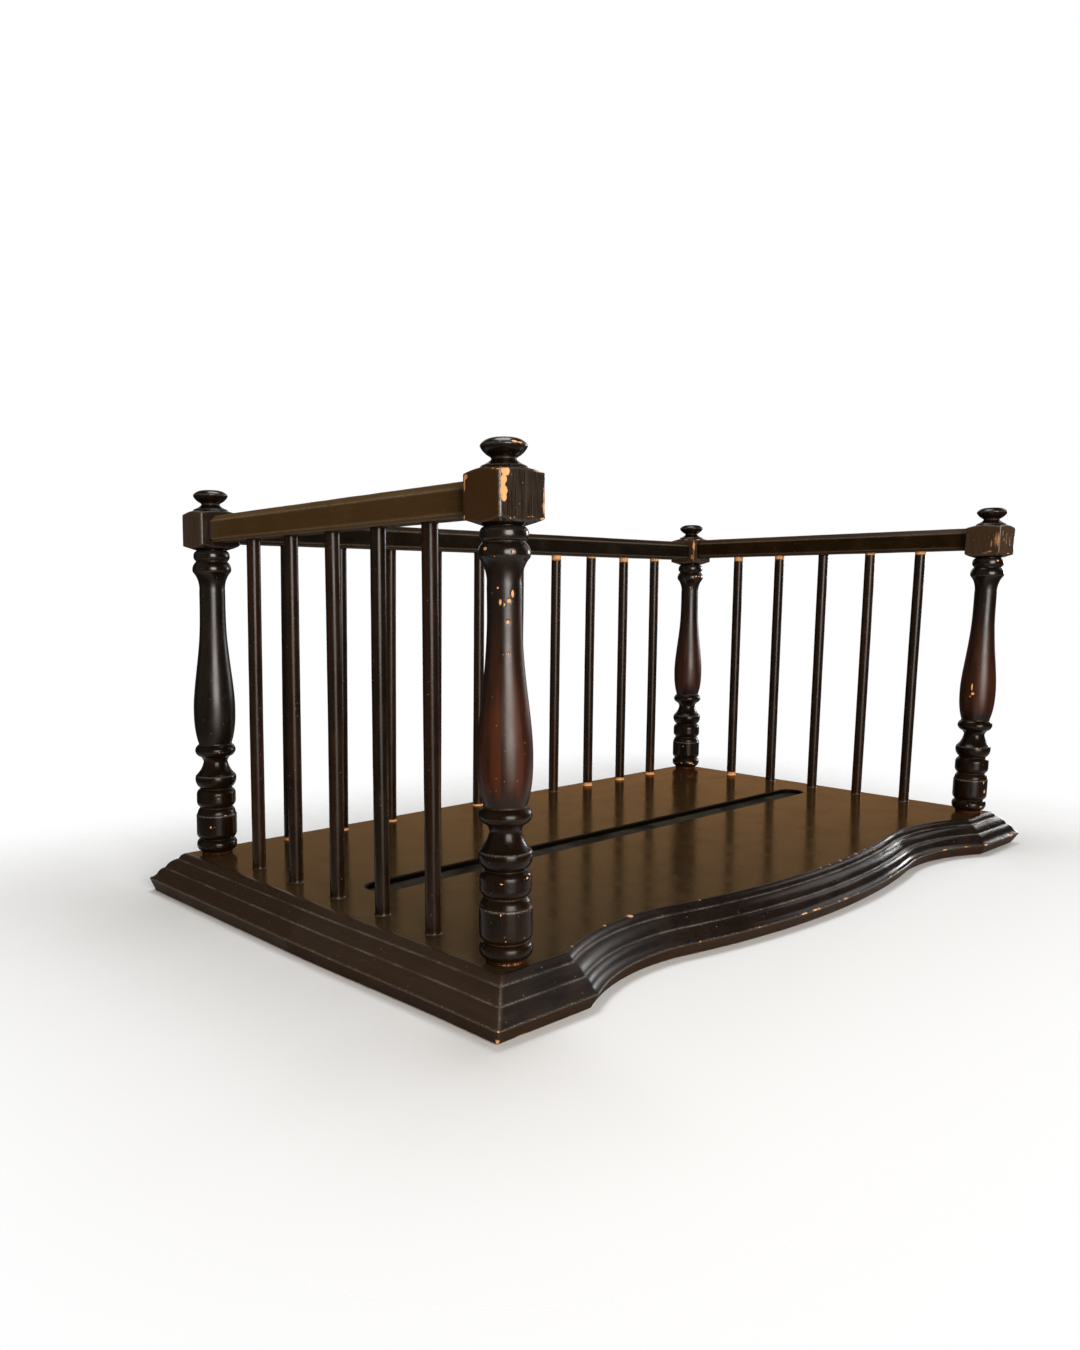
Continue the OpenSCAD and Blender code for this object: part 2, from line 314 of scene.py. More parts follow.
def lacquer(name, grain, black, brown, ruddy, rub, hollow, gloss, specular, specks=1.0, speckled=0.35,
            streaky=0.5, blotchy=0.3, grain_relief=0.010, skin=0.009, waves=0.012, amber=None,
            dull_foot=False):
    """Worn ebonised lacquer over reddish wood.

    grain is the axis that the wood runs along. The lacquer is black where it is thick, brown along the
    grain and ruddy where it is thin. rub is the colour of worn arrises, and hollow that of the film in
    hollows. gloss is the roughness. specks is how strongly dust shows, speckled how much of a worn arris
    stays black, streaky how plainly the grain shows, and blotchy how much red shows in blotches.
    grain_relief, skin and waves are heights of the relief in millimetres. amber tints a clear coat, and
    dull_foot halves the specular level where the field "dull" is 1.
    """
    material = bpy.data.materials.new(name)
    material.use_nodes = True
    tree = material.node_tree
    shader = tree.nodes["Principled BSDF"]
    place = add_node(tree, "TexCoord").outputs["Object"]
    place = add_node(tree, "Mapping", {"Vector": place, "Scale": (1 / MM,) * 3}).outputs[0]
    along = [1.0, 1.0, 1.0]
    along["xyz".index(grain)] = 0.04
    streaks = stretched_noise(tree, place, [1.7 * a for a in along], detail=5.0, roughness=0.6)
    bands = stretched_noise(tree, place, [0.28 * a for a in along], detail=3.0)
    blotches = stretched_noise(tree, place, (0.045,) * 3, detail=4.0)
    fine = stretched_noise(tree, place, (1.4,) * 3, detail=3.0)

    # Thin lacquer lets the red of the wood through in blotches and along the grain
    grainy = remap(tree, streaks, 0.38, 0.68, 0.0, streaky)
    # The umber field adds brown, which on left-facing sides is painted warm light from the left
    grainy = math_node(tree, "ADD", grainy, field(tree, "umber_and_painted_light"), clamp=True)
    colour = mix_colour(tree, grainy, black, brown)
    thin = math_node(tree, "ADD", remap(tree, blotches, 0.42, 0.66, 0.0, blotchy), field(tree, "tint"))
    thin = math_node(tree, "MULTIPLY", thin, remap(tree, bands, 0.34, 0.66, 0.3, 1.0), clamp=True)
    colour = mix_colour(tree, thin, colour, ruddy)
    scuffs = math_node(tree, "MULTIPLY", field(tree, "scuff"), remap(tree, streaks, 0.35, 0.70, 0.03, 0.16))
    colour = mix_colour(tree, scuffs, colour, rub)

    # Hollows keep a paler film, which on the board's ledges is also a painted highlight, and arrises are
    # rubbed
    #     # paler
    film = math_node(tree, "MULTIPLY", field(tree, "hollow"), remap(tree, blotches, 0.36, 0.6, 0.3, 1.0))
    film = math_node(tree, "MULTIPLY", film, remap(tree, fine, 0.38, 0.6, 0.25, 1.0))
    colour = mix_colour(tree, film, colour, hollow)
    patchy = remap(tree, fine, speckled, speckled + 0.2, 0.05, 0.9)
    rubbed = math_node(tree, "MULTIPLY", field(tree, "edge"), patchy, clamp=True)
    colour = mix_colour(tree, rubbed, colour, rub)

    # Dust specks
    cells = add_node(tree, "TexVoronoi", {"Vector": place, "Scale": 0.34, "Randomness": 1.0})
    chosen = remap(tree, cells.outputs["Color"], 0.62, 0.66)
    speck = remap(tree, cells.outputs["Distance"], 0.07, 0.12, 1.0, 0.0)
    speck = math_node(tree, "MULTIPLY", speck, chosen)
    speck = math_node(tree, "MULTIPLY", speck, 0.55 * specks)
    colour = mix_colour(tree, speck, colour, DUST)

    # Bare wood in the chips, with ragged rims drawn out along the grain, paler where more has gone
    inputs = {"Vector": place, "Scale": 0.8, "Detail": 4.0, "Roughness": 0.62}
    ragged = math_node(tree, "MULTIPLY", add_node(tree, "TexNoise", inputs).outputs[0], 0.45)
    uneven = math_node(tree, "ADD", ragged, math_node(tree, "MULTIPLY", streaks, 0.4))
    chip = field(tree, "chip")
    bare = remap(tree, math_node(tree, "ADD", chip, uneven), 0.90, 0.96)
    pale = remap(tree, streaks, 0.25, 0.6, 0.6, 1.0)
    pale = math_node(tree, "MULTIPLY", remap(tree, chip, 0.42, 0.72), pale)
    colour = mix_colour(tree, bare, colour, mix_colour(tree, pale, OLD_WOOD, BARE_WOOD))
    tree.links.new(colour, shader.inputs["Base Color"])

    # Gloss
    rough = remap(tree, blotches, 0.3, 0.7, gloss - 0.05, gloss + 0.03)
    rough = math_node(tree, "ADD", rough, math_node(tree, "MULTIPLY", streaks, 0.08))
    rough = math_node(tree, "ADD", rough, math_node(tree, "MULTIPLY", thin, 0.10))
    rough = math_node(tree, "ADD", rough, math_node(tree, "MULTIPLY", field(tree, "satin"), 0.07))
    rough = mix_value(tree, film, rough, 0.75)
    rough = mix_value(tree, speck, rough, 0.9)
    rough = mix_value(tree, bare, rough, 0.72)
    tree.links.new(rough, shader.inputs["Roughness"])
    if dull_foot:
        shine = mix_value(tree, field(tree, "dull"), specular, 0.5 * specular)
        tree.links.new(shine, shader.inputs["Specular IOR Level"])
    else:
        shader.inputs["Specular IOR Level"].default_value = specular
    if amber:
        shader.inputs["Coat Weight"].default_value = 1.0
        shader.inputs["Coat Roughness"].default_value = gloss
        shader.inputs["Coat IOR"].default_value = 1.01
        shader.inputs["Coat Tint"].default_value = amber

    # Relief: grain, the skin of the lacquer, slow waves, and the step down into a chip
    relief = math_node(tree, "MULTIPLY", streaks, grain_relief)
    relief = math_node(tree, "ADD", relief, math_node(tree, "MULTIPLY", fine, skin))
    relief = math_node(tree, "ADD", relief, math_node(tree, "MULTIPLY", bands, waves))
    relief = math_node(tree, "SUBTRACT", relief, math_node(tree, "MULTIPLY", bare, 0.16))
    bump = add_node(tree, "Bump", {"Height": relief, "Distance": MM, "Strength": 1.0})
    tree.links.new(bump.outputs[0], shader.inputs["Normal"])
    return material


post_finish = lacquer(
    "post_lacquer", "z",
    black=rgb(0.0034, 0.0020, 0.0011), brown=rgb(0.054, 0.0220, 0.0034),
    ruddy=rgb(0.055, 0.0125, 0.0028), rub=rgb(0.20, 0.18, 0.16), hollow=rgb(0.030, 0.014, 0.006),
    gloss=0.22, specular=0.29, streaky=0.1, blotchy=0.08, dull_foot=True,
)
spindle_finish = lacquer(
    "spindle_lacquer", "z",
    black=rgb(0.0050, 0.0028, 0.0013), brown=rgb(0.016, 0.0082, 0.0030),
    ruddy=rgb(0.026, 0.0085, 0.0026), rub=rgb(0.08, 0.06, 0.045), hollow=rgb(0.10, 0.08, 0.06),
    gloss=0.21, specular=0.175, streaky=0.4, grain_relief=0.003, skin=0.022, waves=0.0,
)
rail_finish_x = lacquer(
    "rail_lacquer_x", "x",
    black=rgb(0.005, 0.0033, 0.0020), brown=rgb(0.010, 0.0066, 0.0038),
    ruddy=rgb(0.020, 0.0130, 0.0075), rub=rgb(0.13, 0.10, 0.07), hollow=rgb(0.04, 0.028, 0.018),
    gloss=0.28, specular=0.08,
)
# A much paler copy of the rail lacquer for the outer sides of the left rail: painted warm light from the
# left
rail_finish_painted_light = lacquer(
    "rail_lacquer_painted_warm_light", "y",
    black=rgb(0.066, 0.0350, 0.0125), brown=rgb(0.088, 0.0490, 0.0180),
    ruddy=rgb(0.106, 0.059, 0.0205), rub=rgb(0.22, 0.17, 0.11), hollow=rgb(0.04, 0.028, 0.018),
    gloss=0.32, specular=0.06,
)
rail_finish_dark = lacquer(
    "rail_lacquer_dark", "y",
    black=rgb(0.010, 0.0046, 0.0014), brown=rgb(0.017, 0.0080, 0.0024),
    ruddy=rgb(0.036, 0.0170, 0.0055), rub=rgb(0.12, 0.095, 0.07), hollow=rgb(0.04, 0.028, 0.018),
    gloss=0.30, specular=0.06,
)
# Its pale hollow colour makes the lines on the ledges: dust and a painted highlight
edge_finish = lacquer(
    "board_edge_lacquer", "x",
    black=rgb(0.0046, 0.0030, 0.0024), brown=rgb(0.036, 0.0200, 0.0102),
    ruddy=rgb(0.030, 0.0140, 0.0080), rub=rgb(0.20, 0.165, 0.125), hollow=rgb(0.14, 0.125, 0.105),
    gloss=0.18, specular=0.27, speckled=0.50, streaky=0.2,
)
band_finish = lacquer(
    "board_band_lacquer", "x",
    black=rgb(0.012, 0.0062, 0.0034), brown=rgb(0.022, 0.0118, 0.0058),
    ruddy=rgb(0.028, 0.0130, 0.0058), rub=rgb(0.16, 0.11, 0.07), hollow=rgb(0.10, 0.08, 0.06),
    gloss=0.45, specular=0.06, specks=0.6,
)
top_finish = lacquer(
    "board_top_lacquer", "x",
    black=rgb(0.026, 0.0240, 0.0208), brown=rgb(0.037, 0.0340, 0.0295),
    ruddy=rgb(0.040, 0.0340, 0.0280), rub=rgb(0.10, 0.085, 0.07), hollow=rgb(0.03, 0.024, 0.018),
    gloss=0.12, specular=0.024, specks=1.8, amber=rgb(1, 0.88, 0.73),
)
# Near-black lacquer inside the groove: painted shade on its walls and floor
groove_painted_shade_finish = lacquer(
    "groove_lacquer_painted_shade", "x",
    black=rgb(0.0018, 0.0012, 0.0008), brown=rgb(0.0036, 0.0022, 0.0012),
    ruddy=rgb(0.0036, 0.0022, 0.0012), rub=rgb(0.06, 0.045, 0.03), hollow=rgb(0.055, 0.048, 0.036),
    gloss=0.30, specular=0.01, specks=0.6,
)


# Posts

def rounded_square(half, corner, angles):
    """Distance from the middle of a square with rounded corners to its side, at each angle."""
    turn = np.abs((angles + math.pi / 4) % (math.pi / 2) - math.pi / 4)
    inner = half - corner
    toward = inner * (np.cos(turn) + np.sin(turn))
    on_corner = toward + np.sqrt(np.maximum(toward ** 2 - 2 * inner ** 2 + corner ** 2, 0))
    return np.where(half * np.tan(turn) <= inner, half / np.cos(turn), on_corner)


def post_lines():
    """Turned outline above the block and below it, as (radius, height above the board)."""
    disc_z = post_h - 3.4
    finial = [(0, post_h), (0.45 * disc_r, post_h - 0.3)]
    finial += arc((0.45 * disc_r, post_h - 0.3), (disc_r, disc_z), 28)
    finial += arc((disc_r, disc_z), (0.56 * disc_r, disc_z - 4.7), 22)
    finial += arc((0.56 * disc_r, disc_z - 4.7), (0.5 * disc_r, disc_z - 5.6), -20)
    flare_z = block_top + top_slope * (block_side / math.sqrt(2) - disc_r)
    finial += arc((0.5 * disc_r, disc_z - 5.6), (0.97 * disc_r, flare_z + 0.9), -14)
    finial += [(disc_r, flare_z)]

    collar_z = block_low - collar_gap
    vase_top = collar_z - 14.2
    neck_z = vase_top - 17
    belly_z = foot_h + 22
    lower = [(collar_r, collar_z)]
    lower += arc((collar_r, collar_z), (0.88 * ring_r, collar_z - 3.2), 38)
    lower += arc((0.88 * ring_r, collar_z - 3.2), (0.75 * ring_r, collar_z - 6.6), 38)
    lower += arc((0.75 * ring_r, collar_z - 6.6), (0.95 * ring_r, collar_z - 11.8), 26)
    lower += arc((0.95 * ring_r, collar_z - 11.8), (0.86 * ring_r, vase_top), 30)
    lower += arc((0.86 * ring_r, vase_top), (neck_r, vase_top - 11), -20)
    lower += [(neck_r, neck_z)]
    for s in np.linspace(0, 1, 33)[1:]:
        e = s ** 1.35
        lower.append((neck_r + (vase_r - neck_r) * e * e * (3 - 2 * e), neck_z + (belly_z - neck_z) * s))
    for s in np.linspace(0, 1, 13)[1:]:
        lower.append((vase_r - (vase_r - 0.8 * ring_r) * s ** 2.6, belly_z + (foot_h - belly_z) * s))

    def foot(r, z):
        return (ring_r * r, z)

    # Turns of the foot: share of the ring radius, height, and half angle of the arc that leads there
    turns = [
        (1, 66.6, 34), (0.72, 63, 30), (0.59, 60, -14), (0.99, 51, -20), (0.75, 42.6, 36), (0.97, 38.6, 38),
        (0.97, 35, 0), (0.78, 30.4, 34), (0.95, 26.2, 26), (1, 25.6, 0), (1, 14, 0), (0.8, 10, 36),
        (1, 6.4, 38), (0.8, 2.2, 38), (0.76, 1.8, 0), (0.76, 0, 0),
    ]
    at = foot(0.8, foot_h)
    for r, z, half in turns:
        lower += arc(at, foot(r, z), half) if half else [foot(r, z)]
        at = foot(r, z)
    return finial, lower


def post_angles():
    """Angles of the columns of a post, closer together at the corners of the block."""
    columns = 88
    even = np.arange(columns) * 2 * math.pi / columns
    spread = np.radians([-6, -4.4, -3, -1.9, -0.9, 0, 0.9, 1.9, 3, 4.4, 6])
    corners = np.concatenate([math.pi / 4 + k * math.pi / 2 + spread for k in range(4)])
    return np.unique(np.round(np.concatenate([even, corners]) % (2 * math.pi), 5))


def block_rows(angles):
    """Rows of the square block from the finial down to the collar: radius, height, how much of a level and
    of an upright arris it is, and whether it is on a side, at each column."""
    ease = 0.7
    upright_ease = 1.1
    corner_r = block_side / math.sqrt(2)
    low_slope = collar_gap / (corner_r - collar_r)
    side = rounded_square(block_side / 2, upright_ease, angles)

    def top_z(r):
        return block_top + top_slope * (corner_r - r)

    def low_z(r):
        return block_low - low_slope * (corner_r - r)

    rows = []
    for t in np.linspace(0, 1, 8)[1:]:
        r = disc_r + (side - ease - disc_r) * t
        rows.append((r, top_z(r), np.zeros_like(r)))
    for turn in np.radians([18, 36, 54, 72, 90]):
        r = side - ease + ease * math.sin(turn)
        z = top_z(side - ease) - ease * (1 - math.cos(turn))
        rows.append((r, z, np.ones_like(r)))
    high = top_z(side - ease) - ease
    low = low_z(side - ease) + ease
    for t in np.linspace(0, 1, 30)[1:-1]:
        rows.append((side, high + (low - high) * t, np.zeros_like(side)))
    for turn in np.radians([90, 72, 54, 36, 18, 0]):
        r = side - ease + ease * math.sin(turn)
        rows.append((r, low - ease * math.cos(turn), np.ones_like(r)))
    for t in np.linspace(0, 1, 12)[1:-1]:
        r = side - ease + (collar_r - side + ease) * t
        rows.append((r, low_z(r), np.zeros_like(r)))
    radius, height, edge = (np.stack(part) for part in zip(*rows))
    off_corner = np.abs((angles % (math.pi / 2)) - math.pi / 4)
    arris = np.clip(1 - off_corner / math.radians(3.2), 0, 1)
    on_side = radius > block_side / 2 - 0.01
    return radius, height, edge, arris * on_side, on_side


def build_post(name, node, turned, ruddy, rubbed, browned_and_painted_light, scuffed, spots, seed):
    """A lathe-turned post with a square block, which stands rotated by some degrees, turned.

    ruddy is how red its vase is, and rubbed how worn the arris of its block is that faces the front left.
    browned and scuffed are how brown and how grey the left and the front side of the block are; the brown
    on the left side is painted warm light from the left. Each spot is an angle, a height, how far it
    reaches across and up, and how bare it is.
    """
    step = 0.5
    finial, lower = (soften(resample(line, step), 0.5, step) for line in post_lines())
    angles = post_angles()
    count = len(angles)
    block_r, block_z, across, upright, on_side = block_rows(angles)
    nearest = np.abs(angles - math.radians(225)) < math.radians(8)
    block_edge = np.maximum(0.12 * across, upright * np.where(nearest, rubbed, 0.15))
    x, y = middle(node)[:2]
    left = on_side * (np.abs(angles - math.pi) < math.pi / 4)
    front = on_side * (np.abs(angles - 1.5 * math.pi) < math.pi / 4)
    # On the left side of the block this brown is painted warm light from the left
    brown = left * browned_and_painted_light[0] + front * browned_and_painted_light[1]
    grey = left * scuffed[0] + front * scuffed[1]

    def spin(values):
        return np.repeat(np.asarray(values)[:, None], count, 1)

    finial = finial[1:]
    radius = np.concatenate([spin(finial[:, 0]), block_r, spin(lower[:, 0])])
    height = np.concatenate([spin(finial[:, 1]), block_z, spin(lower[:, 1])])
    marks = [edges_and_hollows(line) for line in (finial, lower)]
    edge = np.concatenate([spin(0.25 * marks[0][0]), block_edge, spin(marks[1][0])])
    hollow = np.concatenate([spin(marks[0][1]), np.zeros_like(block_r), spin(marks[1][1])])
    at_vase = smooth_step(foot_h, foot_h + 12, height) * smooth_step(foot_h + 95, foot_h + 30, height)
    at_sole = smooth_step(2.4, 1.6, height)
    tint = ruddy * at_vase + 0.9 * at_sole
    on_vase = smooth_step(foot_h - 1, foot_h + 3, height) * smooth_step(foot_h + 108, foot_h + 104, height)
    on_foot = smooth_step(foot_h + 1, foot_h - 1, height)
    above, below = (np.zeros((len(line), count)) for line in (finial, lower))
    umber_and_painted_light = np.concatenate([above, brown, below])
    scuff = np.concatenate([above, grey, below])

    angles = angles + math.radians(turned)
    grid = np.stack([radius * np.cos(angles) + x, radius * np.sin(angles) + y, height + board_t], -1)
    placed = []
    for turn, up, wide, tall, bare in spots:
        column = np.argmin(np.abs((angles - math.radians(turn) + math.pi) % (2 * math.pi) - math.pi))
        row = np.argmin(np.abs(height[:, column] - up))
        placed.append((grid[row, column], wide, tall, bare))
    rows = len(grid)
    points = np.concatenate([grid.reshape(-1, 3), [[x, y, board_t + post_h], [x, y, board_t]]])
    faces = grid_faces(rows, count)
    faces += [(rows * count, (i + 1) % count, i) for i in range(count)]
    last = (rows - 1) * count
    faces += [(rows * count + 1, last + i, last + (i + 1) % count) for i in range(count)]
    layers = {"edge": edge, "hollow": hollow, "tint": tint, "umber_and_painted_light": umber_and_painted_light, "scuff": scuff,
              "satin": on_vase, "dull": on_foot, "chip": chip_field(grid, placed)}
    fields = {key: np.append(values.ravel(), [0, 0]) for key, values in layers.items()}
    return make_piece(name, settle(points), faces, node, [post_finish], fields,
                      uneven=0.07, seed=seed)


# Worn spots of each post: angle, height, how far each reaches across and up, how bare it is
FRONT_LEFT_SPOTS = [
    (230.5, block_top - 0.8, 2.5, 2.2, 1), (229.2, block_top - 3.8, 1.8, 2.0, 1),
    (227.9, block_top - 6.2, 1.1, 1.8, 1), (229.8, block_top - 8.8, 2.1, 2.2, 1),
    (229.4, block_top - 11.4, 1.7, 2.0, 1), (221, block_top + 0.4, 1.6, 0.6, 0.8),
    (212, block_top + 0.8, 1.2, 0.5, 0.8), (137, block_top - 4.2, 0.7, 3.4, 0.9),
    (139.5, block_top - 1.4, 0.9, 1.4, 0.9), (136, block_low + 0.8, 0.8, 1.3, 0.8),
    (311.5, block_low + 4.6, 2.0, 4.8, 0.62), (314, block_top - 5, 0.8, 6, 0.7),
    (308, block_low - 0.2, 2.6, 0.6, 0.7), (300, block_top + 0.5, 4.6, 0.6, 0.66),
    (311, block_top - 9, 1.3, 10, 0.58), (284, block_low, 5.0, 0.6, 0.58),
    (143, block_top - 1.2, 0.9, 1.2, 0.85), (240, block_low - 0.4, 0.8, 0.5, 0.8),
    (249, block_low - 0.6, 0.7, 0.5, 0.75), (254, post_h - 2.7, 1.7, 0.7, 0.85),
    (272, post_h - 3.0, 2.4, 0.5, 0.75), (225, 1.0, 6, 0.9, 0.52), (262, 1.0, 6, 0.9, 0.52),
    (181, 183.4, 1.4, 1.0, 0.8), (249, 181.8, 0.7, 0.9, 0.85), (205, 180, 0.4, 0.4, 0.8),
    (207, 166.6, 0.6, 0.6, 0.9), (257, 164, 0.8, 2.0, 0.85), (243, 161.4, 1.1, 1.1, 0.85),
    (216, 160.6, 0.8, 1.9, 0.72), (229, 159.8, 0.6, 0.8, 0.75), (238, 152, 1.0, 1.2, 0.85),
    (239, 138.6, 0.5, 0.8, 0.9), (219, 38.2, 1.1, 0.5, 0.75), (283, 40, 1.3, 0.7, 0.75),
    (217, 24.7, 0.5, 0.8, 0.75), (228, 12.8, 0.4, 0.4, 0.9),
]
FRONT_RIGHT_SPOTS = [
    (222, block_top - 9, 2.0, 9.5, 0.6), (215, block_top - 9, 2.0, 9.0, 0.57),
    (208, block_top - 12, 1.8, 6.0, 0.55), (206, block_top - 3, 1.2, 3.0, 0.52),
    (205, block_low + 1.5, 4.0, 1.4, 0.57), (190, block_low + 0.4, 4.0, 0.9, 0.58),
    (238, block_top - 4.5, 1.0, 3.8, 0.66), (246, block_top - 9, 0.9, 3.0, 0.62),
    (262, block_top - 8, 3.0, 9.0, 0.49), (290, block_top - 9, 5.0, 9.0, 0.48),
    (312, block_top - 9, 1.2, 9, 0.58), (285, block_low + 0.2, 6.0, 0.8, 0.57),
    (240, 191, 1.2, 1.0, 0.8), (186, 97, 0.9, 3.4, 0.85), (190, 92, 1.4, 1.3, 0.85),
    (180, 90, 0.9, 0.9, 0.8), (252, 24, 1.0, 1.8, 0.7), (262, 17, 1.5, 2.0, 0.7),
    (250, 5.5, 2.2, 1.0, 0.65), (200, 6.5, 1.0, 0.6, 0.7), (215, 50.5, 1.2, 0.7, 0.7),
]
BACK_LEFT_SPOTS = [
    (150, post_h - 3.4, 2.2, 0.6, 0.7), (250, 37.2, 0.7, 0.6, 0.8), (225, 19, 0.7, 0.8, 0.8),
    (268, 26, 1.3, 0.6, 0.7), (252, 66.5, 0.9, 0.5, 0.7), (160, block_top + 0.5, 2.4, 0.6, 0.6),
]
BACK_RIGHT_SPOTS = [
    (226, block_top - 5, 2.2, 6.0, 0.66), (221, block_low + 4, 2.0, 4.0, 0.6),
    (196, block_top + 1, 3.4, 0.8, 0.65), (245, block_top + 1, 3.6, 0.8, 0.65),
    (245, 182, 1.4, 1.1, 0.75), (262, 182, 1.6, 1.0, 0.7), (222, 172, 0.9, 0.8, 0.75),
    (240, 6.0, 3.2, 1.0, 0.75), (200, 6.4, 1.5, 0.8, 0.7), (255, 5.0, 1.8, 0.9, 0.7),
    (205, 22, 1.2, 0.8, 0.7),
]

# What build_post takes for each corner: turned, ruddy, rubbed, browned, scuffed and spots. The brown of the
# # left sides is painted warm light from the left
POSTS = (
    ("front_left", -1.8, 0.8, 0.9, (0.85, 0.1), (0.1, 0.65), FRONT_LEFT_SPOTS),
    ("front_right", 0.0, 0.7, 0.25, (0.45, 0.62), (0.5, 0.5), FRONT_RIGHT_SPOTS),
    ("back_left", 0.0, 0.0, 0.1, (0.8, 0.1), (1.7, 0.2), BACK_LEFT_SPOTS),
    ("back_right", 0.0, 0.6, 0.2, (0.6, 0.6), (0.5, 0.5), BACK_RIGHT_SPOTS),
)
for seed, (corner, *traits) in enumerate(POSTS, 1):
    build_post("post_" + corner, corner + "_post", *traits, seed)


# Rails

def rail_section():
    """Closed outline of a rail across its length, from the middle of its underside, as (side, height)."""
    side = rail_w / 2
    top_side = side - rail_bevel
    bevel_z = rail_h - top_side * math.tan(math.radians(rail_crown / 2))
    right = [(0, 0), (side - low_bevel_w, 0), (side, low_bevel_h)]
    right += [(side, bevel_z - rail_bevel), (top_side, bevel_z)]
    crown = arc((top_side, bevel_z), (-top_side, bevel_z), -rail_crown)
    return right + crown + [(-y, z) for y, z in right[::-1][1:]]


def build_rail(name, node, along, side_finish, crown_finish, seed, lift=0.0):
    """A rail between two blocks. along is 0 for a rail that runs along X and 1 along Y. Its crown is
    the nearly level part of its top."""
    step = 0.55
    line = resample(rail_section(), step)
    line = soften(line, 0.45, step)[:-1]
    around = np.concatenate([line[-1:], line, line[:1]])
    edge = np.clip((np.abs(bend(around)[1:-1]) - 0.2) / 0.6, 0, 1)
    bevel_z = rail_h - rail_bevel - 0.4
    bevelled = (line[:, 1] > bevel_z) | (line[:, 1] < low_bevel_h)
    centre = middle(node)
    reach = (half_y if along else half_x) - block_side / 2 + rail_sink
    stations = np.linspace(-reach, reach, round(reach / 1.8))
    rows, count = len(stations), len(line)
    grid = np.zeros((rows, count, 3))
    grid[..., along] = centre[along] + stations[:, None]
    grid[..., 1 - along] = centre[1 - along] + line[:, 0]
    grid[..., 2] = rail_z + line[:, 1]
    faces = grid_faces(rows, count)
    faces += [tuple(range(count)), tuple(range((rows - 1) * count, rows * count))]
    zero = np.zeros(rows * count)
    tint = np.tile(0.95 * bevelled, rows)
    fields = {"edge": np.tile(edge, rows), "hollow": zero, "tint": tint, "chip": zero}
    points = settle(grid.reshape(-1, 3), lift)
    rail = make_piece(name, points, faces, node, [side_finish, crown_finish], fields,
                      uneven=0.1, seed=seed)
    for face in rail.data.polygons:
        face.material_index = int(face.normal.z > 0.85)
    return rail


build_rail("rail_left", "left_rail", 1, rail_finish_painted_light, rail_finish_dark, 11)
build_rail("rail_back", "back_rail", 0, rail_finish_x, rail_finish_x, 12)
build_rail("rail_right", "right_rail", 1, rail_finish_dark, rail_finish_dark, 13, RIGHT_LIFT)


# Spindles

def build_spindle(name, node, top_worn, foot_worn, lift, rng):
    """A dowel that is slightly bowed, with a fillet of old lacquer where it meets the board and the rail.
    top_worn and foot_worn are how far the ring of bare wood reaches at each end."""
    r = spindle_d / 2
    low, high = board_t - spindle_sink, rail_z + spindle_sink
    ends = np.array([0, 0.6, 0.75, 0.95, 1.25, 1.7, 2.4, 3.3, 4.4, 6, 8])
    heights = np.concatenate([low + ends, np.arange(low + 12, high - 11, 5), (high - ends)[::-1]])
    flare = 0.5 * np.exp(-np.maximum(heights - board_t, 0) / 0.35)
    flare += 0.3 * np.exp(-np.maximum(rail_z - heights, 0) / 0.35)
    columns = 32
    angles = np.arange(columns) * 2 * math.pi / columns
    t = (heights - low) / (high - low)
    lean = rng.uniform(0, 2 * math.pi)
    bow = rng.uniform(0.1, 0.35) * np.sin(math.pi * t)
    x, y = middle(node)[:2]
    radius = (r + flare)[:, None] * np.ones_like(angles)
    grid = np.stack([
        x + radius * np.cos(angles) + (bow * math.cos(lean))[:, None],
        y + radius * np.sin(angles) + (bow * math.sin(lean))[:, None],
        np.repeat(heights[:, None], len(angles), 1),
    ], -1)
    chip = np.zeros(grid.shape[:2])
    for end, reach in ((rail_z, top_worn), (board_t, foot_worn)):
        if reach:
            chip = np.maximum(chip, 0.75 * (1 - ((grid[..., 2] - end) / reach) ** 2 / 2))
    rows, count = grid.shape[:2]
    faces = grid_faces(rows, count)
    faces += [tuple(range(count)), tuple(range((rows - 1) * count, rows * count))]
    film = np.exp(-np.maximum(grid[..., 2] - board_t, 0) / 0.5)
    tint = np.full(grid.shape[:2], rng.uniform(0.0, 0.5))
    fields = {"edge": np.zeros(rows * count), "hollow": film.ravel(), "tint": tint.ravel(),
              "chip": np.clip(chip, 0, 1).ravel()}
    points = settle(grid.reshape(-1, 3), lift)
    return make_piece(name, points, faces, node, [spindle_finish], fields,
                      uneven=0.06, chip_depth=0.1, seed=rng.integers(100))


# Rings of bare wood, as how far they reach down from the rail and up from the board
BACK_WORN = {1: (0, 2.5), 2: (0, 2), 3: (0, 2), 5: (0, 2), 6: (3, 0), 7: (5, 0), 8: (2, 4), 9: (5, 3),
             10: (3, 3)}
RIGHT_WORN = {1: (3, 0), 2: (2, 0), 4: (4, 0), 5: (5, 4)}
WALLS = (
    ("left", 5, {}, 0),
    ("back", 10, BACK_WORN, 0),
    ("right", 5, RIGHT_WORN, RIGHT_LIFT),
)
rng = np.random.default_rng(SEED)
for wall, count, worn, lift in WALLS:
    for i in range(1, count + 1):
        top_worn, foot_worn = worn.get(i, (0, 0))
        build_spindle(f"spindle_{wall}_{i}", f"{wall}_spindle_{i}", top_worn, foot_worn, lift, rng)


# Board

def edge_at(out, down):
    """A point of the moulded edge, by its share of the way out and down from the flat top."""
    return (flat_out + (lip_out - flat_out) * out, board_t - (board_t - band_h) * down)


# Inner and outer end of the two narrow ledges of the moulded edge, as shares of the way out
LEDGES = ((0.225, 0.275), (0.58, 0.625))


